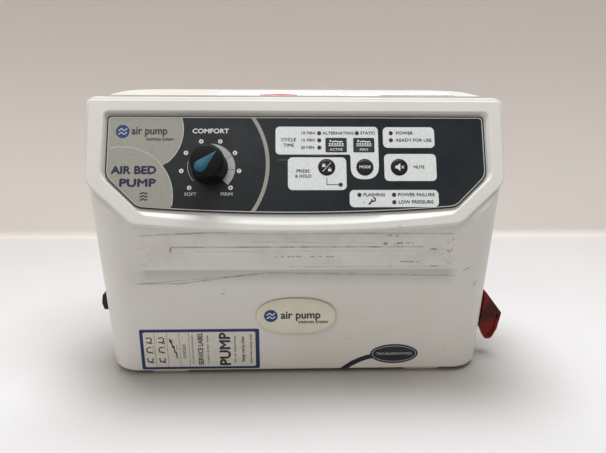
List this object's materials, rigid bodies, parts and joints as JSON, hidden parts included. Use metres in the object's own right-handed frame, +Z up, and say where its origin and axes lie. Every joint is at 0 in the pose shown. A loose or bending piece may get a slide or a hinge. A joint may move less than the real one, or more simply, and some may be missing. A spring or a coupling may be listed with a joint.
{
  "type": "alternating pressure pump",
  "caption": "Bedside air pump of a pressure relief mattress: sloped control face with dial and keys, power rocker, air outlet with release lever, rear hanging hooks.",
  "frame": {"origin": "bottom centre of the bounding box, at the level of the feet", "axes": "+X to the right of someone facing the control face, along the width; +Y to the back, along the depth; +Z up; the control face looks towards -Y"},
  "size_m": [0.2908, 0.141, 0.187],
  "materials": {
    "cream_abs": "satin moulded cream ABS, slightly yellowed",
    "off_white_rubber": "matt off-white rubber",
    "black_plastic": "satin black plastic",
    "teal_plastic": "glossy teal insert",
    "red_plastic": "dark translucent red plastic",
    "panel_film": "printed membrane film, dark field with grey areas and pale cards",
    "clear_lens": "diffusing light guide",
    "resin_badge": "domed clear resin over a cream plate",
    "steel": "zinc-plated steel",
    "steel_laminations": "lacquered steel laminations",
    "copper_winding": "varnished copper wire",
    "circuit_board": "green solder mask",
    "grey_plastic": "grey moulded plastic",
    "white_nylon": "white nylon",
    "black_rubber": "black rubber",
    "filter_foam": "open-cell filter foam",
    "silicone_hose": "milky silicone hose"
  },
  "bodies": {
    "housing": {"front_cover": "cream_abs", "rear_cover": "cream_abs", "control_panel": "panel_film", "comfort_dial_switch": "grey_plastic", "cycle_light_guide": "clear_lens", "power_light_guide": "clear_lens", "lock_light_guide": "clear_lens", "alarm_light_guide": "clear_lens", "display_board": "circuit_board", "main_board": "circuit_board", "oval_badge": "resin_badge", "power_switch_body": "black_plastic", "air_outlet_block": "grey_plastic", "outlet_ring_1": "black_rubber", "outlet_ring_2": "black_rubber", "lever_pin": "steel", "mains_inlet": "black_plastic", "left_hook_pivot": "steel", "right_hook_pivot": "steel", "filter_foam": "filter_foam", "compressor_base": "steel", "compressor_stator": "copper_winding", "left_pump_head": "white_nylon", "right_pump_head": "white_nylon", "valve_motor": "steel", "valve_manifold": "white_nylon", "transformer": "steel_laminations", "outlet_hose_1": "silicone_hose", "outlet_hose_2": "silicone_hose", "pump_hose_left": "silicone_hose", "pump_hose_right": "silicone_hose", "cover_screw_1": "steel", "foot_1": "off_white_rubber", "isolator_1": "black_rubber", "cover_screw_2": "steel", "foot_2": "off_white_rubber", "isolator_2": "black_rubber", "cover_screw_3": "steel", "foot_3": "off_white_rubber", "isolator_3": "black_rubber", "cover_screw_4": "steel", "foot_4": "off_white_rubber", "isolator_4": "black_rubber"},
    "knob": {"comfort_knob": "black_plastic", "knob_pointer": "teal_plastic", "knob_shaft": "steel"},
    "lock_key": {"lock_button": "black_plastic"},
    "mode_key": {"mode_button": "black_plastic"},
    "mute_key": {"mute_button": "black_plastic"},
    "rocker": {"power_rocker": "black_plastic"},
    "lever": {"release_lever": "red_plastic"},
    "hook_left": {"left_hook": "grey_plastic"},
    "hook_right": {"right_hook": "grey_plastic"},
    "fuse_tray": {"fuse_drawer": "black_plastic"},
    "filter_door": {"filter_cover": "cream_abs"},
    "arm_left": {"left_pump_arm": "steel_laminations", "left_bellows": "black_rubber"},
    "arm_right": {"right_pump_arm": "steel_laminations", "right_bellows": "black_rubber"},
    "rotor": {"valve_rotor": "black_plastic"}
  },
  "joints": [
    {"name": "knob_turn", "type": "hinge", "parent": "housing", "child": "knob", "pos_m": [-0.06096, -0.05145, 0.14538], "axis": [0, -0.887, 0.4617], "range_deg": [-89, 181]},
    {"name": "lock_press", "type": "slide", "parent": "housing", "child": "lock_key", "axis": [0, 0.887, -0.4617], "range_m": [0, 0.0006], "stiffness_N_per_m": 500},
    {"name": "mode_press", "type": "slide", "parent": "housing", "child": "mode_key", "axis": [0, 0.887, -0.4617], "range_m": [0, 0.0006], "stiffness_N_per_m": 500},
    {"name": "mute_press", "type": "slide", "parent": "housing", "child": "mute_key", "axis": [0, 0.887, -0.4617], "range_m": [0, 0.0006], "stiffness_N_per_m": 500},
    {"name": "rocker_tilt", "type": "hinge", "parent": "housing", "child": "rocker", "pos_m": [-0.13807, -0.0323, 0.0453], "axis": [0, -1, 0], "range_deg": [0, 18]},
    {"name": "lever_swing", "type": "hinge", "parent": "housing", "child": "lever", "pos_m": [0.13364, -0.0383, 0.044], "axis": [0, -1, 0], "range_deg": [0, 25], "stiffness_Nm_per_rad": 0.05, "springref_deg": -8.59},
    {"name": "hook_left_swing", "type": "hinge", "parent": "housing", "child": "hook_left", "pos_m": [-0.08036, 0.0435, 0.158], "axis": [0, 1, 0], "range_deg": [0, 180]},
    {"name": "hook_right_swing", "type": "hinge", "parent": "housing", "child": "hook_right", "pos_m": [0.06964, 0.0435, 0.158], "axis": [0, -1, 0], "range_deg": [0, 180]},
    {"name": "fuse_pull", "type": "slide", "parent": "housing", "child": "fuse_tray", "axis": [-1, 0, 0], "range_m": [0, 0.016]},
    {"name": "filter_door_open", "type": "hinge", "parent": "housing", "child": "filter_door", "pos_m": [-0.00536, 0.0438, 0.024], "axis": [-1, 0, 0], "range_deg": [0, 95]},
    {"name": "arm_left_swing", "type": "hinge", "parent": "housing", "child": "arm_left", "pos_m": [-0.05936, 0.0037, 0.027], "axis": [0, 1, 0], "range_deg": [-1.2, 1.2], "stiffness_Nm_per_rad": 0.3},
    {"name": "arm_right_swing", "type": "hinge", "parent": "housing", "child": "arm_right", "pos_m": [-0.00736, 0.0037, 0.027], "axis": [0, 1, 0], "range_deg": [-1.2, 1.2]},
    {"name": "rotor_spin", "type": "hinge", "parent": "housing", "child": "rotor", "pos_m": [0.05864, 0.0057, 0.04], "axis": [0, 0, 1], "continuous": true}
  ],
  "couplings": [
    {"joint": "arm_right_swing", "follows": "arm_left_swing", "ratio": -1}
  ]
}
